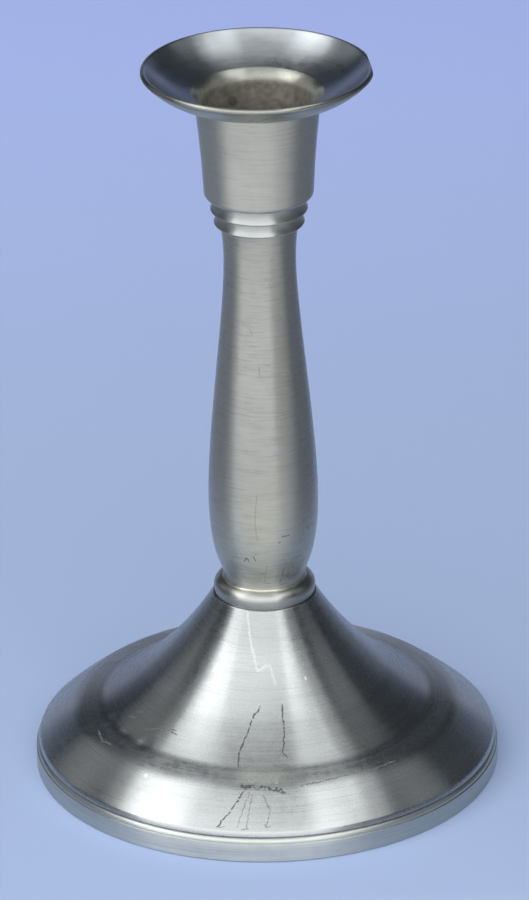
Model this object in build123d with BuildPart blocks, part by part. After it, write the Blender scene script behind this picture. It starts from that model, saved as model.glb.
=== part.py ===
from build123d import *
from math import sqrt
import os

# Pewter column candlestick. Turned and spun shells stand on each other around a steel tie rod,
# which clamps them to a weighted foot. All sizes are in millimetres, the table top is Z = 0.

# Fits between the pieces
fit_gap = 0.05
filling_gap = 0.3
rod_gap = 0.2

# Underside: a felt pad on a fibre board, both inside the rim
felt_thick = 1.2
board_thick = 1.5
felt_setback = 0.3

# Rim of the foot: a plain band with a quirk and a quarter-round bead over it
rim_radius = 53.3
rim_wall = 1.8
band_height = 4.4
quirk_height = 0.25
quirk_depth = 0.5
bead_height = 1.1
bead_setback = 0.15
rim_edge_round = 0.4

# Foot: a convex skirt, a rounded shoulder, a ledge, and a trumpet that sweeps up to the neck
shell_wall = 1.3
strip_setback = 0.55
strip_height = 1.05
strip_lean = 0.4
rim_seam = 0.3
rim_seam_depth = 0.7
skirt_run = 8.95
skirt_rise = 7.2
skirt_bulge = 0.2
shoulder_round = 8.0
ledge_run = 5.85
ledge_rise = 1.35
ledge_round = 6.0
sweep_slope = 31.0
trumpet_rise = 26.75
neck_radius = 11.8
neck_slope = 59.5
neck_reach = 1.49
neck_round = 0.35

# Collar: a round bead between the foot and the stem
collar_height = 3.73
collar_radius = 11.6
collar_waist = 1.7
collar_top_radius = 9.9
collar_low_radius = 10.7
collar_spigot = 4.0
collar_tail = 3.0
collar_tail_radius = 8.0

# Stem: a hollow baluster with a belly low down and a slim neck
stem_length = 87.2
stem_wall = 1.3
stem_foot_radius = 9.35
stem_cove = 0.5
stem_foot_pull = 3.4
belly_radius = 12.46
belly_height = 20.4
belly_low_pull = 15.0
belly_high_pull = 17.0
stem_neck_radius = 8.13
stem_neck_drop = 8.6
stem_neck_pull = 13.7
stem_top_flare = 0.67

# Knop: two flared rings between the stem and the cup
lower_ring_radius = 10.15
lower_ring_height = 3.2
upper_ring_radius = 10.9
upper_ring_height = 3.25
ring_flare = 0.65
ring_lip = 0.35
knop_spigot = 5.0
knop_boss_radius = 8.0
knop_boss_height = 1.0

# Cup: a tapered socket with a straight bore for a dinner candle
candle_diameter = 22.0
candle_clearance = 0.3
cup_height = 23.55
cup_wall = 0.95
cup_swell = 0.85
cup_swell_height = 13.25
cup_flare = 1.95
cup_edge_round = 1.3
cup_floor = 1.2

# Drip pan: a spun dish whose short sleeve sits in a rebate in the mouth of the cup
pan_radius = 25.85
pan_rise = 6.7
pan_wall = 1.25
dish_slope = 7.0
sleeve_length = 1.2
mouth_wall = 0.55
mouth_flare = 0.98
mouth_length = 4.1
throat_reach = 0.68
throat_bulge = 0.28

# Tie rod, nuts and washer
rod_radius = 2.5
rod_tail = 1.5
nut_flats = 8.0
nut_height = 4.0
nut_gap = 0.2
washer_radius = 7.5
washer_thick = 1.2
recess_radius = 9.0
recess_depth = 8.0

# Levels, from the table up
board_top = felt_thick + board_thick
rim_top = band_height + quirk_height + bead_height
strip_bottom = rim_top + rim_seam
skirt_bottom = strip_bottom + strip_height
shoulder_level = skirt_bottom + skirt_rise
ledge_level = shoulder_level + ledge_rise
foot_top = ledge_level + trumpet_rise
collar_top = foot_top + collar_height
stem_top = collar_top + stem_length
knop_middle = stem_top + lower_ring_height
knop_top = knop_middle + upper_ring_height
cup_top = knop_top + cup_height
boss_top = knop_top + knop_boss_height
socket_floor = boss_top + fit_gap + cup_floor
sleeve_bottom = cup_top - sleeve_length
pan_top = cup_top + pan_rise
belly_level = collar_top + belly_height
stem_neck_level = stem_top - stem_neck_drop
filling_top = foot_top - collar_tail
recess_roof = board_top + recess_depth
base_nut_bottom = recess_roof - washer_thick - nut_height
top_nut_bottom = boss_top - nut_gap - nut_height

# Radii that mating pieces share
rim_bore = rim_radius - rim_wall
strip_radius = rim_radius - strip_setback
skirt_radius = strip_radius - strip_lean
shoulder_radius = skirt_radius - skirt_run
ledge_radius = shoulder_radius - ledge_run
stem_foot_bore = stem_foot_radius - stem_wall
stem_top_bore = stem_neck_radius - stem_wall
filling_radius = rim_bore - fit_gap - shell_wall - filling_gap
rod_hole = rod_radius + rod_gap
socket_radius = candle_diameter / 2 + candle_clearance
cup_low_radius = socket_radius + cup_wall
cup_top_radius = cup_low_radius + cup_flare
mouth_radius = socket_radius + mouth_flare
rebate_radius = cup_top_radius - mouth_wall
heel_radius = cup_top_radius + throat_reach

os.makedirs("parts", exist_ok=True)


# Outer line of the foot, from the lower edge of the skirt over the shoulder and the ledge to the neck. The
# trumpet is two arcs that meet smoothly, with the neck's arc reaching neck_reach times as far as the sweep's.
with BuildLine() as foot_line:
    skirt = SagittaArc(
        (skirt_radius, skirt_bottom), (shoulder_radius, shoulder_level), -skirt_bulge
    )
    ledge = Line(skirt @ 1, (ledge_radius, ledge_level))
    shoulder, root = ledge @ 0, ledge @ 1
    neck = Vector(neck_radius, foot_top)
    leave = Vector(-1, 0).rotate(Axis.Z, -sweep_slope)
    arrive = Vector(-1, 0).rotate(Axis.Z, -neck_slope)
    way = neck - root
    advance = way.dot(leave + arrive * neck_reach)
    bend = 2 * neck_reach * (1 - leave.dot(arrive))
    handle = (sqrt(advance**2 + bend * way.dot(way)) - advance) / bend
    sweep_handle = root + leave * handle
    neck_handle = neck - arrive * handle * neck_reach
    meeting = (sweep_handle * neck_reach + neck_handle) / (1 + neck_reach)
    sweep = TangentArc(root, meeting, tangent=leave)
    TangentArc(meeting, neck, tangent=sweep % 1)
    fillet(foot_line.vertices().sort_by_distance(shoulder)[0], shoulder_round)
    fillet(foot_line.vertices().sort_by_distance(root)[0], ledge_round)


# Felt pad that the candlestick stands on
with BuildPart() as felt_pad:
    with BuildSketch():
        Circle(rim_bore - felt_setback)
    extrude(amount=felt_thick)
felt_pad.part.label = "felt_pad"
export_step(felt_pad.part, "parts/felt_pad.step")


# Fibre board that closes the foot
with BuildPart() as base_board:
    with BuildSketch(Plane.XY.offset(felt_thick)):
        Circle(rim_bore - fit_gap)
    extrude(amount=board_thick)
base_board.part.label = "base_board"
export_step(base_board.part, "parts/base_board.step")


# Turned rim: band, quirk and quarter-round bead
with BuildPart() as foot_rim:
    with BuildSketch(Plane.XZ):
        with BuildLine():
            bead_radius = rim_radius - bead_setback
            band = Polyline(
                (rim_bore, 0),
                (rim_radius, 0),
                (rim_radius, band_height),
                (rim_radius - quirk_depth, band_height),
                (rim_radius - quirk_depth, band_height + quirk_height),
                (bead_radius, band_height + quirk_height),
            )
            bead = JernArc(band @ 1, (0, 1), bead_height, 90)
            Polyline(bead @ 1, (rim_bore, rim_top), band @ 0)
        make_face()
    revolve(axis=Axis.Z)
    band_edge = foot_rim.edges().filter_by(GeomType.CIRCLE).group_by(Axis.Z)[0].sort_by(SortBy.RADIUS)[-1]
    fillet(band_edge, rim_edge_round)
foot_rim.part.label = "foot_rim"
export_step(foot_rim.part, "parts/foot_rim.step")


# Spun foot: one sheet from the neck to the skirt, with a lip that drops inside the rim
with BuildPart() as foot_shell:
    with BuildSketch(Plane.XZ):
        with BuildLine():
            offset(foot_line.line, amount=shell_wall, side=Side.LEFT)
        make_face()
        with BuildLine():
            lip_radius = rim_bore - fit_gap
            Polyline(
                (skirt_radius, skirt_bottom),
                (strip_radius, strip_bottom),
                (strip_radius - rim_seam_depth, strip_bottom),
                (strip_radius - rim_seam_depth, rim_top),
                (lip_radius, rim_top),
                (lip_radius, board_top),
                (lip_radius - shell_wall, board_top),
                (lip_radius - shell_wall, skirt_bottom),
                (skirt_radius, skirt_bottom),
            )
        make_face()
        with BuildLine():
            neck_bore = collar_tail_radius + fit_gap
            Polyline(
                (neck_bore, foot_top),
                (neck_radius, foot_top),
                (neck_radius, foot_top - shell_wall),
                (neck_bore, foot_top - shell_wall),
                close=True,
            )
        make_face()
    revolve(axis=Axis.Z)
    neck_edge = foot_shell.edges().filter_by(GeomType.CIRCLE).group_by(Axis.Z)[-1].sort_by(SortBy.RADIUS)[-1]
    fillet(neck_edge, neck_round)
foot_shell.part.label = "foot_shell"
export_step(foot_shell.part, "parts/foot_shell.step")


# Poured weight that fills the foot, with a recess below for the washer and nut
with BuildPart() as weight_filling:
    with BuildSketch(Plane.XZ):
        with BuildLine():
            skin = offset(
                foot_line.line, amount=shell_wall + filling_gap, side=Side.LEFT, closed=False
            )
            ends = (skin @ 0, skin @ 1)
            low_end = min(ends, key=lambda point: point.Y)
            high_end = max(ends, key=lambda point: point.Y)
            Polyline(high_end, (0, high_end.Y), (0, board_top), (low_end.X, board_top), low_end)
        make_face()
        with Locations((0, board_top)):
            Rectangle(
                filling_radius,
                filling_top - board_top,
                align=Align.MIN,
                mode=Mode.INTERSECT,
            )
    revolve(axis=Axis.Z)
    with Locations(Plane(origin=(0, 0, board_top), z_dir=(0, 0, -1))):
        CounterBoreHole(rod_hole, recess_radius, recess_depth)
weight_filling.part.label = "weight_filling"
export_step(weight_filling.part, "parts/weight_filling.step")


# Collar bead, with a tail in the foot's neck and a spigot in the stem
with BuildPart() as stem_collar:
    with BuildSketch(Plane.XZ):
        with BuildLine():
            bead = ThreePointArc(
                (collar_low_radius, foot_top),
                (collar_radius, foot_top + collar_waist),
                (collar_top_radius, collar_top),
            )
            spigot_radius = stem_foot_bore - fit_gap
            Polyline(
                bead @ 1,
                (spigot_radius, collar_top),
                (spigot_radius, collar_top + collar_spigot),
                (rod_hole, collar_top + collar_spigot),
                (rod_hole, filling_top),
                (collar_tail_radius, filling_top),
                (collar_tail_radius, foot_top),
                bead @ 0,
            )
        make_face()
    revolve(axis=Axis.Z)
stem_collar.part.label = "stem_collar"
export_step(stem_collar.part, "parts/stem_collar.step")


# Hollow baluster stem: its inner line is the outer line moved in by the wall
with BuildPart() as stem_shell:
    with BuildSketch(Plane.XZ):
        with BuildLine():
            cove = JernArc((stem_foot_radius + stem_cove, collar_top), (-1, 0), stem_cove, -90)
            cove_top = collar_top + stem_cove
            for inset in (0, stem_wall):
                swell = Bezier(
                    (stem_foot_radius - inset, cove_top),
                    (stem_foot_radius - inset, cove_top + stem_foot_pull),
                    (belly_radius - inset, belly_level - belly_low_pull),
                    (belly_radius - inset, belly_level),
                )
                Bezier(
                    swell @ 1,
                    (belly_radius - inset, belly_level + belly_high_pull),
                    (stem_neck_radius - inset, stem_neck_level - stem_neck_pull),
                    (stem_neck_radius - inset, stem_neck_level),
                )
            flare = TangentArc(
                (stem_neck_radius, stem_neck_level),
                (stem_neck_radius + stem_top_flare, stem_top),
                tangent=(0, 1),
            )
            Polyline(flare @ 1, (stem_top_bore, stem_top), (stem_top_bore, stem_neck_level))
            Polyline((stem_foot_bore, cove_top), (stem_foot_bore, collar_top), cove @ 0)
        make_face()
    revolve(axis=Axis.Z)
stem_shell.part.label = "stem_shell"
export_step(stem_shell.part, "parts/stem_shell.step")


def ring_line(level, height, radius):
    """Lower lip and hollow flare of one ring, from its underside to its top."""
    lip = JernArc((radius - ring_lip, level), (1, 0), ring_lip, 90)
    crown = (radius - ring_flare, level + height)
    TangentArc(crown, lip @ 1, tangent=(0, -1))
    return lip @ 0, crown


# Knop with two flared rings, a spigot in the stem, a boss in the cup and a pocket for the nut
with BuildPart() as ring_knop:
    with BuildSketch(Plane.XZ):
        with BuildLine():
            lower_start, lower_end = ring_line(stem_top, lower_ring_height, lower_ring_radius)
            upper_start, upper_end = ring_line(knop_middle, upper_ring_height, upper_ring_radius)
            Line(lower_end, upper_start)
            spigot_radius = stem_top_bore - fit_gap
            Polyline(
                upper_end,
                (knop_boss_radius, knop_top),
                (knop_boss_radius, boss_top),
                (rod_hole, boss_top),
                (rod_hole, stem_top - knop_spigot),
                (spigot_radius, stem_top - knop_spigot),
                (spigot_radius, stem_top),
                lower_start,
            )
        make_face()
    revolve(axis=Axis.Z)
    with BuildSketch(Plane.XY.offset(top_nut_bottom)):
        RegularPolygon(nut_flats / 2 + fit_gap, 6, major_radius=False)
    extrude(until=Until.LAST, mode=Mode.SUBTRACT)
ring_knop.part.label = "ring_knop"
export_step(ring_knop.part, "parts/ring_knop.step")


# Tapered cup with a flat floor, a straight candle bore and a rebate for the pan's sleeve
with BuildPart() as candle_cup:
    with BuildSketch(Plane.XZ):
        with BuildLine():
            side = ThreePointArc(
                (cup_low_radius, knop_top),
                (cup_low_radius + cup_swell, knop_top + cup_swell_height),
                (cup_top_radius, cup_top),
            )
            Polyline(
                side @ 1,
                (rebate_radius, cup_top),
                (rebate_radius, sleeve_bottom),
                (mouth_radius, sleeve_bottom),
                (socket_radius, sleeve_bottom - mouth_length),
                (socket_radius, socket_floor),
                (0, socket_floor),
                (0, boss_top + fit_gap),
                (knop_boss_radius + fit_gap, boss_top + fit_gap),
                (knop_boss_radius + fit_gap, knop_top),
                side @ 0,
            )
        make_face()
    revolve(axis=Axis.Z)
    cup_edge = candle_cup.edges().filter_by(GeomType.CIRCLE).group_by(Axis.Z)[0].sort_by(SortBy.RADIUS)[-1]
    fillet(cup_edge, cup_edge_round)
candle_cup.part.label = "candle_cup"
export_step(candle_cup.part, "parts/candle_cup.step")


# Spun drip pan: a dish of even thickness with a round edge, on a short sleeve with a rounded throat
with BuildPart() as drip_pan:
    with BuildSketch(Plane.XZ):
        heel = Vector(heel_radius, cup_top)
        wall_across = Vector(0, pan_wall).rotate(Axis.Z, dish_slope)
        with BuildLine():
            dish = TangentArc(
                heel + wall_across / 2,
                (pan_radius - pan_wall / 2, pan_top - pan_wall / 2),
                tangent=Vector(1, 0).rotate(Axis.Z, dish_slope),
            )
        trace(line_width=pan_wall)
        with Locations(dish @ 1):
            Circle(pan_wall / 2)
        with BuildLine():
            sleeve_radius = rebate_radius - fit_gap
            sleeve = Polyline(
                (mouth_radius, sleeve_bottom),
                (sleeve_radius, sleeve_bottom),
                (sleeve_radius, cup_top),
                heel,
                heel + wall_across,
            )
            SagittaArc(sleeve @ 1, sleeve @ 0, -throat_bulge)
        make_face()
    revolve(axis=Axis.Z)
drip_pan.part.label = "drip_pan"
export_step(drip_pan.part, "parts/drip_pan.step")


# Steel tie rod from the nut under the filling to the nut in the knop
with BuildPart() as tie_rod:
    with BuildSketch(Plane.XY.offset(base_nut_bottom - rod_tail)):
        Circle(rod_radius)
    extrude(amount=top_nut_bottom + nut_height - base_nut_bottom + rod_tail)
tie_rod.part.label = "tie_rod"
export_step(tie_rod.part, "parts/tie_rod.step")


# Washer under the filling
with BuildPart() as base_washer:
    with BuildSketch(Plane.XY.offset(recess_roof - washer_thick)):
        Circle(washer_radius)
        Circle(rod_hole, mode=Mode.SUBTRACT)
    extrude(amount=washer_thick)
base_washer.part.label = "base_washer"
export_step(base_washer.part, "parts/base_washer.step")


# Two hexagon nuts: one under the washer and one held in the knop's pocket
for name, level in (("base_nut", base_nut_bottom), ("top_nut", top_nut_bottom)):
    with BuildPart() as nut:
        with BuildSketch(Plane.XY.offset(level)):
            RegularPolygon(nut_flats / 2, 6, major_radius=False)
            Circle(rod_radius + fit_gap, mode=Mode.SUBTRACT)
        extrude(amount=nut_height)
    nut.part.label = name
    export_step(nut.part, f"parts/{name}.step")
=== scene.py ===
# %% [markdown]
# # A pewter candlestick
#
# The candlestick is turned work: a drip pan, a cup, a knop with two rings, a hollow stem, a collar, a
# trumpet foot and a rim, all round one axis. The CAD model gives every piece its place and its size.
# This lesson gives each piece a fine mesh, the small damage of use, and a satin metal finish.
#
# The CAD model comes first, because everything else is set against it, and its pieces stay in the
# scene, hidden.

# %% Load the frame
import math

import bmesh
import bpy
from mathutils import Matrix, Quaternion, Vector


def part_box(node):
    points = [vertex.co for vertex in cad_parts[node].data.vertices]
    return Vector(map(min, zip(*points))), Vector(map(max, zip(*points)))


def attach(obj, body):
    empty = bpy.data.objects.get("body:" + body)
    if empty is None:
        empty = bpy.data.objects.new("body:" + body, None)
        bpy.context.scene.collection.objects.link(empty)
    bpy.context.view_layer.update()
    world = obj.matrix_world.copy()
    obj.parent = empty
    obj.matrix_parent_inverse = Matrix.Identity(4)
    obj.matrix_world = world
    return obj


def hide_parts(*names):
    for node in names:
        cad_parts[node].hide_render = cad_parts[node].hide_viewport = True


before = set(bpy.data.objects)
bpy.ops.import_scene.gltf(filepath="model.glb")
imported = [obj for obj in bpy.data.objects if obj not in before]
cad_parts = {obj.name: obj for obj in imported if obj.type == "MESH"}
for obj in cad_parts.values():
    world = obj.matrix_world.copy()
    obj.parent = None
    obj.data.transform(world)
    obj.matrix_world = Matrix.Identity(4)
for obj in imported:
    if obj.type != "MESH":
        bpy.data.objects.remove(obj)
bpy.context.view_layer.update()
MM = 0.001

# %% [markdown]
# ## The camera
#
# The photograph was taken from above the table with a long lens, which keeps the foot and the pan
# almost free of perspective. A camera could be placed by eye and nudged until it looks right. Here its
# height, distance and lens were worked out from the outlines of the round pieces, so the render can be
# laid over the photograph. The column leans a little to the left there, and a roll of the camera stands
# in for most of that.

# %% Camera
AIM = Vector((0, 0, 0.085))
CAMERA_DISTANCE = 1.4138
CAMERA_ELEVATION = math.radians(24.289)
CAMERA_ROLL = math.radians(-0.85)
AIM_RIGHT = 0.00042
AIM_DOWN = 0.00698
LENS = 250
SENSOR = 36

towards_camera = Vector((0, -math.cos(CAMERA_ELEVATION), math.sin(CAMERA_ELEVATION)))
image_up = Vector((0, math.sin(CAMERA_ELEVATION), math.cos(CAMERA_ELEVATION)))
camera_data = bpy.data.cameras.new("portrait_camera")
camera_data.lens = LENS
camera_data.sensor_width = SENSOR
camera_data.clip_start = 0.05
camera_data.clip_end = 50
camera = bpy.data.objects.new("portrait_camera", camera_data)
bpy.context.scene.collection.objects.link(camera)
camera.location = AIM + towards_camera * CAMERA_DISTANCE
looked_at = AIM + Vector((AIM_RIGHT, 0, 0)) - image_up * AIM_DOWN
straight = (looked_at - camera.location).to_track_quat("-Z", "Y")
camera.rotation_mode = "QUATERNION"
camera.rotation_quaternion = straight @ Quaternion((0, 0, 1), CAMERA_ROLL)
bpy.context.scene.camera = camera
print("camera", [round(x, 3) for x in camera.location])

# %% [markdown]
# ## Turning a piece from its half section
#
# On the lathe a piece is made by moving a tool along its outline while the work turns. Blender's spin
# does the same to a line. The line could be typed in again, but the CAD piece already holds it: a copy
# of its mesh is cut through the axis, and the cut that is left is the half section.
#
# The cut has straight steps where the CAD piece has curves. A curve with automatic handles runs
# smoothly through its points, and corners keep straight handles so that they stay crisp.

# %% Cut a half section
CORNER = math.radians(17)
MERGE = 1e-6
ON_PLANE = 1e-7


def half_section(node):
    """The outline of a CAD piece in the half plane of +X and Z, as points in order, and whether it closes."""
    cut = bmesh.new()
    cut.from_mesh(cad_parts[node].data)
    bmesh.ops.remove_doubles(cut, verts=cut.verts, dist=MERGE)
    for plane, both_sides in (((0, 1, 0), True), ((1, 0, 0), False)):
        everything = cut.verts[:] + cut.edges[:] + cut.faces[:]
        bmesh.ops.bisect_plane(cut, geom=everything, dist=ON_PLANE, plane_co=(0, 0, 0),
                               plane_no=plane, clear_inner=True, clear_outer=both_sides)
    ends = [vertex for vertex in cut.verts if len(vertex.link_edges) == 1]
    vertex = ends[0] if ends else cut.verts[:][0]
    walked = []
    while vertex:
        walked.append(vertex)
        onward = [edge.other_vert(vertex) for edge in vertex.link_edges]
        vertex = next((other for other in onward if other not in walked), None)
    points = [vertex.co.copy() for vertex in walked]
    cut.free()
    return points, not ends


# %% Draw a smooth line through the section
def smooth_line(points, closed, steps):
    """A mesh of the line through the points: curved where they curve, straight into the corners."""
    curve = bpy.data.curves.new("section", "CURVE")
    curve.dimensions = "3D"
    curve.resolution_u = steps
    line = curve.splines.new("BEZIER")
    line.bezier_points.add(len(points) - 1)
    line.use_cyclic_u = closed
    for i, knot in enumerate(line.bezier_points):
        before, after = points[i - 1], points[(i + 1) % len(points)]
        turn = (points[i] - before).angle(after - points[i], 0)
        open_end = not closed and i in (0, len(points) - 1)
        kind = "VECTOR" if turn > CORNER or open_end else "AUTO"
        knot.handle_left_type = kind
        knot.handle_right_type = kind
    for knot, point in zip(line.bezier_points, points):
        knot.co = point
    holder = bpy.data.objects.new("section", curve)
    mesh = bpy.data.meshes.new_from_object(holder)
    bpy.data.objects.remove(holder)
    bpy.data.curves.remove(curve)
    return mesh


# %% Spin it into a piece
QUARTER_STEPS = 64
EDGE_ROUND = 0.12 * MM


def corners(wire):
    """The vertices of a wire where it turns sharply."""
    found = []
    for vertex in wire.verts:
        if len(vertex.link_edges) == 2:
            one, other = (edge.other_vert(vertex).co - vertex.co for edge in vertex.link_edges)
            if one.angle(-other) > CORNER:
                found.append(vertex)
    return found


def turned(node, steps=3, lip=None):
    """A bmesh of the CAD piece, turned from its own section, with its sharp edges just broken.

    A lip is a distance from the axis and a rounding: corners further out than it get that rounding.
    """
    points, closed = half_section(node)
    line = smooth_line(points, closed, steps)
    work = bmesh.new()
    work.from_mesh(line)
    bpy.data.meshes.remove(line)
    sharp = corners(work)
    outer = [vertex for vertex in sharp if lip and vertex.co.x > lip[0]]
    inner = [vertex for vertex in sharp if vertex not in outer]
    bmesh.ops.bevel(work, geom=inner, offset=EDGE_ROUND, segments=3, profile=0.5, affect="VERTICES",
                    clamp_overlap=True, material=-1)
    if outer:
        bmesh.ops.bevel(work, geom=outer, offset=lip[1], segments=6, profile=0.5, affect="VERTICES",
                        clamp_overlap=True, material=-1)
    bmesh.ops.spin(work, geom=work.verts[:] + work.edges[:], cent=(0, 0, 0), axis=(0, 0, 1),
                   angle=math.tau / 4, steps=QUARTER_STEPS)
    for axis in "XY":
        everything = work.verts[:] + work.edges[:] + work.faces[:]
        bmesh.ops.mirror(work, geom=everything, axis=axis, merge_dist=MERGE)
    bmesh.ops.remove_doubles(work, verts=work.verts, dist=MERGE)
    bmesh.ops.recalc_face_normals(work, faces=work.faces)
    return work


# %% Hand a piece over to the frame
def finish_piece(work, name, node):
    """Makes the object of a piece: it rides with the candlestick and stands for its CAD piece."""
    for face in work.faces:
        face.smooth = True
    mesh = bpy.data.meshes.new(name)
    work.to_mesh(mesh)
    work.free()
    piece = bpy.data.objects.new(name, mesh)
    bpy.context.scene.collection.objects.link(piece)
    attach(piece, "root")
    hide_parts(node)
    mesh.calc_loop_triangles()
    heights = [vertex.co.z / MM for vertex in mesh.vertices]
    low, high = round(min(heights), 2), round(max(heights), 2)
    print(name, len(mesh.loop_triangles), "triangles,", low, "to", high, "mm up")
    return piece


# %% [markdown]
# ## The turned pieces
#
# Rim, foot, collar, stem, knop, cup and pan are seven separate pieces on the real candlestick, and the
# fine dark lines between them are the seams. So each is spun by itself, and no edge is shared.
#
# In the photograph the collar bulges down to its seam, and the quirk under the rim's bead is shallow.
# Their sections could be drawn again. Moving a few vertices outwards is simpler, and these stay within
# the widest part of their piece.

# %% Move a vertex outwards
def reach(vertex):
    """How far a vertex is from the axis."""
    return math.hypot(vertex.co.x, vertex.co.y)


def widen(vertex, radius):
    """Moves a vertex out to a distance from the axis."""
    stretch = radius / reach(vertex)
    vertex.co.x *= stretch
    vertex.co.y *= stretch


# %% Collar
BULGE_RADIUS = 11.6 * MM
BULGE_HEIGHT = 44.1 * MM
BULGE_SHARE = 0.9
FULLNESS = 0.7

collar_work = turned("stem_collar")
for vertex in collar_work.verts:
    if vertex.co.z < BULGE_HEIGHT and reach(vertex) > BULGE_SHARE * BULGE_RADIUS:
        widen(vertex, reach(vertex) + FULLNESS * (BULGE_RADIUS - reach(vertex)))
collar = finish_piece(collar_work, "turned_collar", "stem_collar")

# %% Rim
QUIRK_LOW = 4.2 * MM
QUIRK_HIGH = 4.75 * MM
QUIRK_INNER = 52.6 * MM
QUIRK_OUTER = 52.9 * MM
QUIRK_FILL = 0.25 * MM

rim_work = turned("foot_rim")
for vertex in rim_work.verts:
    if QUIRK_LOW < vertex.co.z < QUIRK_HIGH and QUIRK_INNER < reach(vertex) < QUIRK_OUTER:
        widen(vertex, reach(vertex) + QUIRK_FILL)
rim = finish_piece(rim_work, "turned_rim", "foot_rim")

# %% Stem, knop and cup
stem = finish_piece(turned("stem_shell"), "hollow_stem", "stem_shell")
knop = finish_piece(turned("ring_knop"), "ringed_knop", "ring_knop")
cup = finish_piece(turned("candle_cup"), "candle_cup_turned", "candle_cup")

# %% [markdown]
# ## Dents
#
# Pewter is soft. At some time the pan was knocked on its right side, which left a flat place in its round
# edge, and the left of the foot has shallow dents. A bump in the finish could hint at them, but it leaves the
# outline perfect, so the vertices themselves are pressed in: a small ball of them for a dent, and the
# outermost part of the edge for the flat.

# %% Press dents into the foot
FOOT_DENTS = (((-36.4, -12.2, 15.6), 3.2, 0.22), ((-32.6, -19.6, 15.9), 2.6, 0.18),
              ((-28.4, -25.0, 16.0), 2.8, 0.2), ((-40.5, -14.4, 14.8), 2.4, 0.16))


def press(work, centre, size, depth):
    """Pushes the vertices near a point straight down, most in the middle and none at the size."""
    pressed = 0
    for vertex in work.verts:
        share = 1 - ((vertex.co - centre).length / size) ** 2
        if share > 0:
            vertex.co.z -= depth * share * share
            pressed += 1
    return pressed


foot_work = turned("foot_shell")
for centre, size, depth in FOOT_DENTS:
    print("dent of", press(foot_work, Vector(centre) * MM, size * MM, depth * MM), "vertices")
foot = finish_piece(foot_work, "spun_foot", "foot_shell")

# %% Flatten the knocked place of the pan's edge
PAN_LIP = (24 * MM, 0.5 * MM)
KNOCK_ANGLE = math.radians(6.5)
KNOCK = Vector((math.cos(KNOCK_ANGLE), math.sin(KNOCK_ANGLE), 0))
EDGE_FROM = 22.5 * MM
FLAT_AT = 25.05 * MM
FLATNESS = 0.92
FLAT_DROP = 0.2


def knock(work):
    """Pushes back what stands out beyond FLAT_AT towards the knock, and gives how far the edge went."""
    furthest = max(vertex.co.dot(KNOCK) for vertex in work.verts)
    for vertex in work.verts:
        beyond = vertex.co.dot(KNOCK) - FLAT_AT
        if beyond > 0 and reach(vertex) > EDGE_FROM:
            vertex.co -= KNOCK * beyond * FLATNESS
            vertex.co.z -= beyond * FLAT_DROP
    return furthest - max(vertex.co.dot(KNOCK) for vertex in work.verts)


pan_work = turned("drip_pan", lip=PAN_LIP)
print("edge knocked in by", round(knock(pan_work) / MM, 2), "mm")
pan = finish_piece(pan_work, "drip_pan_spun", "drip_pan")

# %% [markdown]
# ## The felt
#
# A disc of felt is glued under the base, so that the metal doesn't scratch a table. It could stay a sharp
# disc, but felt is soft, and its cut edge is a little round. So a disc is inset into rings, raised to the
# thickness of the felt, and bevelled along its edges.

# %% Felt disc
FELT_SEGMENTS = 128
FELT_RINGS = 10
FELT_ROUND = 0.3 * MM
felt_low, felt_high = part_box("felt_pad")
felt_radius = felt_high.x
felt_work = bmesh.new()
bmesh.ops.create_circle(felt_work, cap_ends=True, cap_tris=False, segments=FELT_SEGMENTS,
                        radius=felt_radius, matrix=Matrix.Translation((0, 0, felt_low.z)))
felt_face = felt_work.faces[:]
for ring in range(FELT_RINGS):
    bmesh.ops.inset_individual(felt_work, faces=felt_face, thickness=felt_radius / (FELT_RINGS + 1), depth=0)
risen = bmesh.ops.extrude_face_region(felt_work, geom=felt_work.faces[:])
risen_vertices = [part for part in risen["geom"] if isinstance(part, bmesh.types.BMVert)]
bmesh.ops.translate(felt_work, verts=risen_vertices, vec=(0, 0, felt_high.z - felt_low.z))
bmesh.ops.recalc_face_normals(felt_work, faces=felt_work.faces)
felt_edges = [edge for edge in felt_work.edges if edge.is_manifold and edge.calc_face_angle() > CORNER]
bmesh.ops.bevel(felt_work, geom=felt_edges, offset=FELT_ROUND, segments=3, profile=0.5, affect="EDGES",
                material=-1)
felt = finish_piece(felt_work, "felt_disc", "felt_pad")

# %% [markdown]
# ## A small language for finishes
#
# A finish is a tree of nodes, and placing nodes one at a time hides the thought behind them. So one small
# class stands for a socket: adding or multiplying two of them adds the Math node that does it. One method
# makes every other kind of node from its settings and what goes into its sockets.

# %% Sockets that can be added and multiplied
class Wire:
    """One output of a node, with the sums and products that finishes need."""

    def __init__(self, finish, socket):
        self.finish = finish
        self.socket = socket

    def __getitem__(self, output):
        return Wire(self.finish, self.socket.node.outputs[output])

    def __add__(self, other):
        return self.finish.math("ADD", self, other)

    __radd__ = __add__

    def __sub__(self, other):
        return self.finish.math("SUBTRACT", self, other)

    def __rsub__(self, other):
        return self.finish.math("SUBTRACT", other, self)

    def __mul__(self, other):
        return self.finish.math("MULTIPLY", self, other)

    __rmul__ = __mul__

    def __truediv__(self, other):
        return self.finish.math("DIVIDE", self, other)


# %% A finish
SPOT_CORE = 0.4
STROKE_CORE = 0.35


def point(millimetres):
    """A place in metres; a flat drawing's two numbers get a third of 0."""
    return Vector((*millimetres, 0)[:3]) * MM


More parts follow.
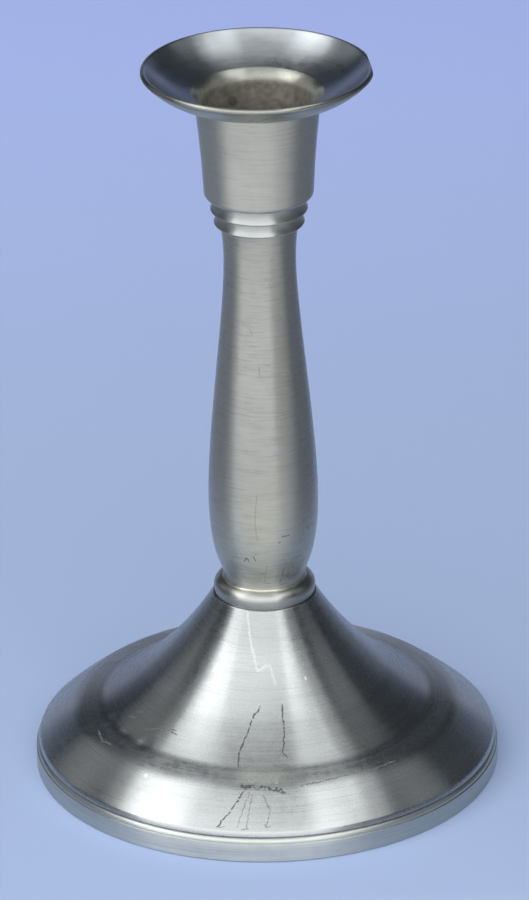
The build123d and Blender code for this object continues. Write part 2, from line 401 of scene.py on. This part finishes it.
class Finish:
    """A material, or the world, made of nodes."""

    def __init__(self, name, kind="materials"):
        self.holder = getattr(bpy.data, kind).new(name)
        self.holder.use_nodes = True
        self.tree = self.holder.node_tree
        self.tree.nodes.clear()

    def node(self, kind, settings, sockets):
        """Any node: its settings are set first, then the values or links of its sockets."""
        made = self.tree.nodes.new(kind)
        for setting, value in settings.items():
            setattr(made, setting, value)
        for socket, value in sockets.items():
            if isinstance(value, Wire):
                self.tree.links.new(value.socket, made.inputs[socket])
            else:
                made.inputs[socket].default_value = value
        return Wire(self, made.outputs[0]) if made.outputs else made

    def math(self, operation, first, second=0.0):
        return self.node("ShaderNodeMath", {"operation": operation}, {0: first, 1: second})

    def most(self, *values):
        """The largest of some values."""
        found = values[0]
        for value in values[1:]:
            found = self.math("MAXIMUM", found, value)
        return found

    def step(self, value, start, end):
        """A soft step: 0 before start, 1 after end."""
        return self.node("ShaderNodeMapRange", {"interpolation_type": "SMOOTHSTEP", "clamp": True},
                         {"Value": value, "From Min": start, "From Max": end})

    def mix(self, amount, first, second):
        """One colour going over into another."""
        return self.node("ShaderNodeMix", {"data_type": "RGBA"}, {0: amount, 6: first, 7: second})[2]

    def noise(self, place, scale, detail):
        return self.node("ShaderNodeTexNoise", {}, {"Vector": place, "Scale": scale, "Detail": detail})

    def vector(self, operation, first, second):
        return self.node("ShaderNodeVectorMath", {"operation": operation}, {0: first, 1: second})

    def scale(self, vector, amount):
        """A vector or a colour, longer or brighter by an amount."""
        return self.node("ShaderNodeVectorMath", {"operation": "SCALE"}, {0: vector, "Scale": amount})

    def spot(self, place, centre, size):
        """1 in the middle of a spot, 0 outside its size; all in millimetres."""
        away = self.vector("DISTANCE", place, point(centre))["Value"]
        return self.step(away, size * MM, size * MM * SPOT_CORE)

    def stroke(self, place, start, end, width):
        """1 on the straight line between two points, 0 further than width from it; all in millimetres."""
        run = point(end) - point(start)
        from_start = self.vector("SUBTRACT", place, point(start))
        share = self.vector("DOT_PRODUCT", from_start, run / run.length_squared)["Value"]
        nearest = self.scale(run, self.node("ShaderNodeClamp", {}, {"Value": share}))
        away = self.vector("DISTANCE", from_start, nearest)["Value"]
        return self.step(away, width * MM, width * MM * STROKE_CORE)

    def strokes(self, place, lines, width):
        """Many scratches at once, each a row of points."""
        found = 0.0
        for line in lines:
            for start, end in zip(line, line[1:]):
                found = self.most(found, self.stroke(place, start, end, width))
        return found

    def show(self, shader, output="ShaderNodeOutputMaterial"):
        self.node(output, {}, {"Surface": shader})
        print("finish", self.holder.name, len(self.tree.nodes), "nodes")
        return self.holder


# %% [markdown]
# ## Satin pewter
#
# Pewter is a grey metal of tin, warm where it is clean and darker where it has aged. On the lathe it was
# rubbed with fine abrasive, which leaves thousands of lines round the axis. They spread a reflection along
# the outline and keep it narrow round the axis: that makes the bright wedges on the foot and the upright
# bands on the stem. A scratch texture could imitate them, but the shader has it built in as anisotropy.
# A noise stretched round the axis adds the lines that are coarse enough to see.

# %% Pewter
DULL_PEWTER = (0.358, 0.375, 0.377)
BRIGHT_PEWTER = (0.432, 0.451, 0.451)
GRIME = (0.035, 0.033, 0.03)
DARK_FILM = (0.10, 0.094, 0.074)
LIGHT_FILM = (0.17, 0.162, 0.135)


class Lathe:
    """Where a point is on turned work: its place, its distance from the axis and its direction from it."""

    def __init__(self, finish):
        self.place = finish.node("ShaderNodeTexCoord", {}, {})["Object"]
        parts = finish.node("ShaderNodeSeparateXYZ", {}, {0: self.place})
        self.x, self.y, self.z = parts["X"], parts["Y"], parts["Z"]
        self.radius = finish.math("SQRT", self.x * self.x + self.y * self.y + 1e-9)
        self.outward = finish.node("ShaderNodeCombineXYZ", {},
                                   {0: self.x / self.radius, 1: self.y / self.radius})
        facing = finish.node("ShaderNodeNewGeometry", {}, {})["Normal"]
        self.inside = finish.step(finish.vector("DOT_PRODUCT", facing, self.outward)["Value"], 0.05, -0.05)

    def beyond(self, finish, start, end):
        """A soft step on the distance from the axis, in millimetres."""
        return finish.step(self.radius, start * MM, end * MM)

    def lines(self, finish, fineness, scale, detail):
        """Noise drawn out round the axis, as a lathe leaves it."""
        along = (self.z - self.radius) * fineness
        shifted = finish.node("ShaderNodeCombineXYZ", {}, {2: along})
        return finish.noise(finish.vector("ADD", self.outward, shifted), scale, detail)


def pewter(name, roughness, wear_and_painted_light=None, streaks=1.0, drawn=0.88, tint=None):
    """Satin metal.

    wear_and_painted_light is a function that gives, for each place, a factor on the tone (painted shade and
    light on the foot and the pan), the grime and the age. A tint is a colour, or a function that gives one
    for each place; on the rim and the low stem it is painted light, on the pan's dish a painted reflection.
    """
    finish = Finish(name)
    lathe = Lathe(finish)
    lines = lathe.lines(finish, 1500, 1.5, 2.0)
    hairs = lathe.lines(finish, 2600, 3.0, 3.0)
    cuts = lathe.lines(finish, 2100, 1.8, 1.0)
    cloud = finish.noise(lathe.place, 110.0, 5.0)
    mottle = finish.noise(lathe.place, 520.0, 4.0)
    grain = lines * 0.34 + hairs * 0.22 + cloud * 0.22 + mottle * 0.22
    tone = finish.mix(finish.step(grain, 0.3, 0.7), (*DULL_PEWTER, 1), (*BRIGHT_PEWTER, 1))
    cut = finish.step(cuts, 0.54, 0.72) * (0.14 * streaks)
    rough = roughness + (lines - 0.5) * (0.12 * streaks) + (cloud - 0.5) * 0.10 + (mottle - 0.5) * 0.12
    painted_shade_and_light, grime, age = wear_and_painted_light(finish, lathe, mottle) if wear_and_painted_light else (1.0, 0.0, 0.0)
    if tint:
        tone = finish.vector("MULTIPLY", tone, tint(finish, lathe) if callable(tint) else tint)
    tone = finish.scale(tone, painted_shade_and_light * (1.0 - cut))
    film = finish.mix(finish.step(mottle, 0.3, 0.7), (*DARK_FILM, 1), (*LIGHT_FILM, 1))
    tone = finish.mix(age, tone, film)
    tone = finish.mix(grime, tone, (*GRIME, 1))
    relief = finish.node("ShaderNodeBump", {}, {
        "Strength": 0.5 * streaks, "Distance": 0.02 * MM,
        "Height": lines * 0.6 + hairs * 0.25 + mottle * 0.15})
    shader = finish.node("ShaderNodeBsdfPrincipled", {}, {
        "Base Color": tone, "Metallic": 1.0 - finish.most(age * 0.8, grime),
        "Roughness": finish.most(rough, age * 0.6, grime * 0.5), "Normal": relief,
        "Anisotropic": drawn, "Anisotropic Rotation": 0.25})
    return finish.show(shader)


# %% [markdown]
# ## Wear, and painted shade and light
#
# Each piece has aged in its own way, and its history can be read from it. Dark hairlines on the foot are
# scratches that grime has filled. The bend of the foot is darker, its neck has painted shade, and its ledge
# and skirt painted light. The socket is brown from candle ends. The dish of the pan has a painted bluish
# reflection, and painted shade darkens the back of its edge and dims its front. A picture could be laid over
# the pieces, but then the marks would only fit one view. Here every mark is a short line or a spot at a place
# on the piece, so it is there from every side. The marks of the foot are drawn flat, as seen from above, and
# those of the stem as seen from the front. Their numbers are millimetres.

# %% Foot
HAIRLINES = (((-1.5, -25.5), (-3, -27), (-4.5, -30), (-6.5, -34), (-6.5, -37)),
             ((3.5, -25), (4, -30.5), (3.5, -34), (4.5, -35)),
             ((-5.5, -44.5), (-8, -47.5), (-11.5, -50.5)))
FAN = (((-4, -44.5), (-7, -51)), ((-3.5, -45), (-5, -51.5)), ((-1, -45.5), (0.5, -48.5), (-0.5, -51.5)),
       ((-11.5, -50.5), (-10, -50.5)), ((-6, -51.5), (-4.5, -51.5)), ((-1, -51), (0.5, -51.5)))
SCORES = (((7.5, -43), (12.5, -41.5), (24, -36), (29, -32)), ((-38.5, -16), (-37.5, -20.5), (-35.5, -22.5)),
          ((-31.5, -14.5), (-30, -16)), ((-27.5, -21), (-23, -23.5), (-20.5, -25)),
          ((-21.5, -25), (-20.5, -26)), ((-32, -30), (-28, -33)))
BRIGHT_LINES = (((-4, -11.5), (-3.5, -15), (-2, -19.5), (1, -19), (2, -21.5)),
                ((-35, -11.5), (-33.5, -15.5)), ((-34.5, -16), (-32.5, -18.5)),
                ((-29.5, -14.5), (-28.5, -15.5)))
LIGHT_SPOTS = ((2, -42.5), (-27.5, -35.5), (9, -19.5))
PITTED = ((-6, -43), (4, -44.5))
DEEPEST_PIT = (-5, -43.5)
SHAKE = 0.9 * MM


def shaken(finish, lathe):
    """The place on the piece, shaken a little, so that a straight line becomes a scratch."""
    shake = finish.vector("SUBTRACT", finish.noise(lathe.place, 900.0, 2.0)["Color"], (0.5, 0.5, 0.5))
    return finish.vector("ADD", lathe.place, finish.scale(shake, SHAKE))


def foot_wear_and_painted_light(finish, lathe, mottle):
    """Marks drawn as seen from above, lighter lines and spots, a darker bend, painted shade in the neck and
    painted light on the ledge and skirt.
    """
    above = finish.vector("MULTIPLY", shaken(finish, lathe), (1, 1, 0))
    broken = finish.step(finish.noise(lathe.place, 1500.0, 2.0), 0.30, 0.46)
    # Painted shade and light: the neck is made darker and the ledge and skirt lighter; the bend is darker
    # too.
    bend = lathe.beyond(finish, 26.5, 29.5) * lathe.beyond(finish, 38.5, 36.5)
    neck = lathe.beyond(finish, 18.5, 15.0)
    ledge = lathe.beyond(finish, 38.5, 39.5) * lathe.beyond(finish, 43.5, 42.0)
    skirt = lathe.beyond(finish, 43.5, 45.5)
    # Lighter lines and spots are added to the tone.
    light = finish.strokes(above, BRIGHT_LINES, 0.34) * 0.2
    for light_spot in LIGHT_SPOTS:
        light = light + finish.spot(above, light_spot, 0.42) * 0.6
    painted_shade_and_light = 1.0 - bend * 0.12 - neck * 0.12 + ledge * 0.25 + skirt * 0.16 + light
    pitting = finish.step(finish.noise(lathe.place, 1300.0, 1.0), 0.47, 0.55)
    grime = finish.most(finish.stroke(above, *PITTED, 0.8) * pitting, finish.spot(above, DEEPEST_PIT, 0.7))
    for lines, width, depth in ((HAIRLINES, 0.24, 1.0), (FAN, 0.16, 0.6), (SCORES, 0.22, 0.7)):
        grime = finish.most(grime, finish.strokes(above, lines, width) * broken * depth)
    return painted_shade_and_light, grime * 0.92, 0.0


# %% Stem
RUBBED_LINES = (((3.5, 48.5), (4.5, 52.5)), ((4.5, 50.5), (5.5, 49.5), (6.5, 51.5)), ((6.5, 52.5), (6.5, 47)),
                ((5.5, 52), (5.5, 48.5)), ((-4.5, 54.5), (-4, 55.5), (-3.5, 54.5)), ((-2.5, 56), (-2, 55)),
                ((3.5, 59.5), (4, 61), (5.5, 61)), ((10, 61.5), (10, 60.5)))
FAINT_LINES = (((-1.5, 71.5), (-2, 66), (-1.5, 60.5)), ((0.5, 53.5), (0, 48.5)), ((-0.5, 102), (-0.5, 100)),
               ((-2.5, 111), (-2, 110)))
RUBBED_PATCH = (5.5, 50)


def stem_wear(finish, lathe, mottle):
    """Marks drawn as seen from the front."""
    near = finish.node("ShaderNodeSeparateXYZ", {}, {0: shaken(finish, lathe)})
    ahead = finish.node("ShaderNodeCombineXYZ", {}, {0: near["X"], 1: near["Z"]})
    marks = finish.strokes(ahead, RUBBED_LINES, 0.28) * finish.step(mottle, 0.38, 0.54) * 0.7
    patch = finish.spot(ahead, RUBBED_PATCH, 3.2) * finish.step(mottle, 0.44, 0.62) * 0.4
    faint = finish.strokes(ahead, FAINT_LINES, 0.25) * 0.22
    in_front = finish.step(lathe.y, 0.0, -2 * MM)
    return 1.0, finish.most(marks, patch, faint) * in_front, 0.0


def low_stem_painted_light(finish, lathe):
    """Painted light low on the stem: lighter and warmer towards the foot, against the blue of the floor that
    it mirrors.
    """
    low = finish.step(lathe.z, 80 * MM, 52 * MM)
    return finish.mix(low, (1.0, 0.97, 0.95, 1), (1.29, 1.23, 1.08, 1))


# %% Cup and pan
RUST = ((-5.5, 12.5, 157), (-5.5, 9.5, 158.5))
CUP_STAIN = (10.3, -6.8, 142.2)


def dish_painted_blue_reflection(finish, lathe):
    """A painted blue reflection on the dish, strongest at its front and sides, and a warmer tone on the rest
    of the pan.
    """
    dish = lathe.inside * lathe.beyond(finish, 14.6, 15.2)
    # Painted reflection: a blue tint on the dish where the backdrop would be mirrored, most at the front and
    # sides.
    painted_reflection_side = finish.step(lathe.y, 14 * MM, -2 * MM)
    painted_blue = finish.mix(painted_reflection_side, (0.98, 1.0, 1.04, 1), (0.76, 0.84, 1.14, 1))
    return finish.mix(dish, (1.03, 1.0, 0.9, 1), painted_blue)


def socket_age(finish, lathe, mottle):
    """Brown film inside the socket, deeper down, and rust where something of iron lay."""
    deep = lathe.inside * finish.step(lathe.z, 164.2 * MM, 161.4 * MM)
    rust = finish.stroke(lathe.place, *RUST, 1.6) * finish.step(mottle, 0.3, 0.5)
    return deep, rust * lathe.inside * 0.75


def cup_wear(finish, lathe, mottle):
    """The socket's film and rust, and a small stain at the lower edge."""
    deep, rust = socket_age(finish, lathe, mottle)
    stain = finish.spot(lathe.place, CUP_STAIN, 0.8)
    return 1.0, finish.most(rust, stain * 0.5), deep


def pan_wear_and_painted_shade(finish, lathe, mottle):
    """The socket's film and rust, and painted shade on the edge: dark behind, dimmed in front."""
    deep, rust = socket_age(finish, lathe, mottle)
    # Painted shade: a dark line round the back and sides of the edge, and the front of the edge dimmed
    # against its highlight.
    edge = lathe.beyond(finish, 25.2, 25.6) * finish.step(lathe.y, -16 * MM, -4 * MM)
    dimmed_lip_front = lathe.beyond(finish, 25.0, 25.4) * finish.step(lathe.y, -8 * MM, -18 * MM)
    return 1.0 - edge * 0.7 - dimmed_lip_front * 0.25, rust, deep


# %% Give the pieces their metal
WARM = (1.03, 1.0, 0.97)
CLEAN = (1.1, 1.08, 1.06)
PALE_RIM_PAINTED_LIGHT = (1.46, 1.44, 1.36)

# The rim's tint is painted light: its pewter is made lighter and warmer than the other pieces, in place of
# light on its band and against the blue of the floor it mirrors.
rim.data.materials.append(pewter("rim_pewter", 0.40, streaks=0.8, tint=PALE_RIM_PAINTED_LIGHT))
foot.data.materials.append(pewter("foot_pewter", 0.28, foot_wear_and_painted_light, drawn=0.95))
collar.data.materials.append(pewter("collar_pewter", 0.33, streaks=0.6, tint=WARM))
stem.data.materials.append(pewter("stem_pewter", 0.31, stem_wear, tint=low_stem_painted_light))
knop.data.materials.append(pewter("knop_pewter", 0.32, streaks=0.6))
cup.data.materials.append(pewter("cup_pewter", 0.32, cup_wear, streaks=0.7, tint=CLEAN))
pan.data.materials.append(pewter("pan_pewter", 0.30, pan_wear_and_painted_shade, streaks=0.4, tint=dish_painted_blue_reflection))

# %% [markdown]
# ## What is out of sight
#
# The rod, the nuts, the filling and the board are inside. Their CAD shapes are right as they are, so they
# stay, and only get plain finishes with the grain that each would show if the base were opened.

# %% Hidden finishes
def grained(name, dark, light, scale, roughness, metallic):
    """A plain stuff whose grain goes from a dark colour to a light one."""
    finish = Finish(name)
    place = finish.node("ShaderNodeTexCoord", {}, {})["Object"]
    grain = finish.noise(place, scale, 6.0)
    colour = finish.mix(grain, (*dark, 1), (*light, 1))
    bump = finish.node("ShaderNodeBump", {}, {"Strength": 0.4, "Distance": 0.1 * MM, "Height": grain})
    shader = finish.node("ShaderNodeBsdfPrincipled", {}, {
        "Base Color": colour, "Metallic": metallic, "Normal": bump,
        "Roughness": roughness + (grain - 0.5) * 0.2})
    return finish.show(shader)


steel = grained("zinced_steel", (0.42, 0.43, 0.44), (0.62, 0.63, 0.64), 400, 0.35, 1.0)
pitch = grained("poured_filling", (0.05, 0.045, 0.04), (0.16, 0.145, 0.13), 250, 0.85, 0.0)
fibre = grained("fibre_board", (0.20, 0.13, 0.08), (0.34, 0.24, 0.15), 900, 0.8, 0.0)
baize = grained("green_felt", (0.03, 0.09, 0.055), (0.06, 0.17, 0.10), 1500, 0.95, 0.0)
hidden = {"tie_rod": steel, "base_washer": steel, "base_nut": steel, "top_nut": steel,
          "weight_filling": pitch, "base_board": fibre}
for node, material in hidden.items():
    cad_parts[node].data.materials.clear()
    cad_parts[node].data.materials.append(material)
felt.data.materials.append(baize)

# %% [markdown]
# ## Table and light
#
# The candlestick stands on pale blue paper. Metal has hardly a colour of its own: it shows what stands
# round it, so the light is set by what each piece mirrors. A wide softbox in front makes the broad bands of
# stem and cup, long softboxes high at the left and right make the bright wedges on the foot, and two weak
# reflectors lift its dark sides. The paper is blue where the camera sees it. Out of sight it is white in
# front and grey at the sides, as the cards of a table studio are, and the stem mirrors those. A few lamps
# alone would leave the metal black between them, so the room is dim and a little lighter low behind.

# %% Floor
PAPER_RADIUS = 4
NEAR_BLUE = (0.37, 0.465, 0.69)
FAR_BLUE = (0.46, 0.56, 1.0)
LEFT_GREY = (0.32, 0.335, 0.36)
RIGHT_GREY = (0.19, 0.205, 0.22)
SIDE_GREY = (0.36, 0.40, 0.47)
BACK_GREY = (0.33, 0.35, 0.40)
FRONT_WHITE = (0.85, 0.84, 0.80)

floor_work = bmesh.new()
bmesh.ops.create_circle(floor_work, cap_ends=True, segments=96, radius=PAPER_RADIUS)
floor_mesh = bpy.data.meshes.new("paper")
floor_work.to_mesh(floor_mesh)
floor_work.free()
floor = bpy.data.objects.new("paper", floor_mesh)
bpy.context.scene.collection.objects.link(floor)
print("paper", 2 * PAPER_RADIUS, "m across")

# %% Colour the paper
paper = Finish("pale_paper")
paper_place = paper.node("ShaderNodeTexCoord", {}, {})["Object"]
paper_parts = paper.node("ShaderNodeSeparateXYZ", {}, {0: paper_place})
across = paper.math("ABSOLUTE", paper_parts["X"])
away = paper_parts["Y"]
seen = paper.mix(paper.step(away, 0.12, 0.55), (*NEAR_BLUE, 1), (*FAR_BLUE, 1))
flank = paper.mix(paper.step(paper_parts["X"], -0.05, 0.05), (*LEFT_GREY, 1), (*RIGHT_GREY, 1))
flank = paper.mix(paper.step(across, 0.20, 0.32), flank, (*SIDE_GREY, 1))
past_the_view = across - paper.math("MAXIMUM", away, 0.0) * 0.2
paper_colour = paper.mix(paper.step(past_the_view, 0.085, 0.14), seen, flank)
paper_colour = paper.mix(paper.step(away, 0.6, 0.75), paper_colour, (*BACK_GREY, 1))
paper_colour = paper.mix(paper.step(away, -0.066, -0.11), paper_colour, (*FRONT_WHITE, 1))
paper_shader = paper.node("ShaderNodeBsdfPrincipled", {}, {
    "Base Color": paper_colour, "Roughness": 0.9, "Specular IOR Level": 0.1})
floor_mesh.materials.append(paper.show(paper_shader))


# %% Softboxes
def softbox(name, direction, long_way, size, brightness, distance=1.0):
    """A lit panel that faces the candlestick, its length along long_way; its power grows with its area."""
    data = bpy.data.lights.new(name, "AREA")
    data.shape = "RECTANGLE"
    data.size, data.size_y = size
    data.energy = brightness * math.pi * size[0] * size[1]
    lamp = bpy.data.objects.new(name, data)
    bpy.context.scene.collection.objects.link(lamp)
    out = Vector(direction).normalized()
    length = (Vector(long_way) - out * out.dot(Vector(long_way))).normalized()
    turn = Matrix((length.cross(out), length, out)).transposed()
    lamp.matrix_world = Matrix.Translation(AIM + out * distance) @ turn.to_4x4()
    print(name, size, "m, brightness", brightness)


softbox("front_softbox", (-0.235, -0.765, 0.60), (0, 0, 1), (4.4, 2.55), 2.1, 2.0)
softbox("left_softbox", (-0.667, 0.009, 0.783), (0.42, 0.72, 0.55), (0.28, 0.80), 2.15)
softbox("left_softbox_edge", (-0.507, -0.128, 0.859), (0.42, 0.72, 0.55), (0.19, 0.80), 1.5)
softbox("left_fill", (-0.75, 0.16, 0.67), (0.42, 0.55, 0.35), (0.14, 0.8), 0.35)
softbox("right_softbox", (0.41, -0.25, 0.88), (-0.20, 0.58, 0.19), (0.34, 0.95), 1.3)
softbox("right_fill", (0.57, -0.12, 0.80), (-0.30, 0.60, 0.30), (0.22, 0.95), 0.75)
softbox("top_softbox", (0.0, 0.1, 1.0), (0, 1, 0), (0.9, 0.7), 0.7)
softbox("left_reflector", (-0.69, 0.43, 0.58), (-0.3, 0.2, 0.7), (0.45, 0.7), 0.35)
softbox("right_reflector", (0.74, 0.12, 0.66), (-0.3, 0.2, 0.7), (0.40, 0.7), 0.28)

# %% World
ROOM = (0.071, 0.080, 0.089)
ROOM_BEHIND = (0.054, 0.062, 0.073)
LOW_BEHIND = (0.20, 0.23, 0.31)
LOW_MIDDLE = (0.41, 0.445, 0.57)

studio = Finish("studio", "worlds")
ray = studio.node("ShaderNodeTexCoord", {}, {})["Generated"]
ray_parts = studio.node("ShaderNodeSeparateXYZ", {}, {0: ray})
flat_square = ray_parts["X"] * ray_parts["X"] + ray_parts["Y"] * ray_parts["Y"]
behind = ray_parts["Y"] / studio.math("SQRT", flat_square + 1e-6)
up = ray_parts["Z"]
room = studio.mix(studio.step(behind, 0.7, 0.85), (*ROOM, 1), (*ROOM_BEHIND, 1))
room = studio.mix(studio.step(up, 0.36, 0.12) * studio.step(behind, 0.5, 0.8), room, (*LOW_BEHIND, 1))
room = studio.mix(studio.step(up, 0.38, 0.24) * studio.step(behind, 0.85, 0.92), room, (*LOW_MIDDLE, 1))
bpy.context.scene.world = studio.show(studio.node("ShaderNodeBackground", {}, {"Color": room}),
                                      "ShaderNodeOutputWorld")
bpy.context.scene.view_settings.view_transform = "Standard"
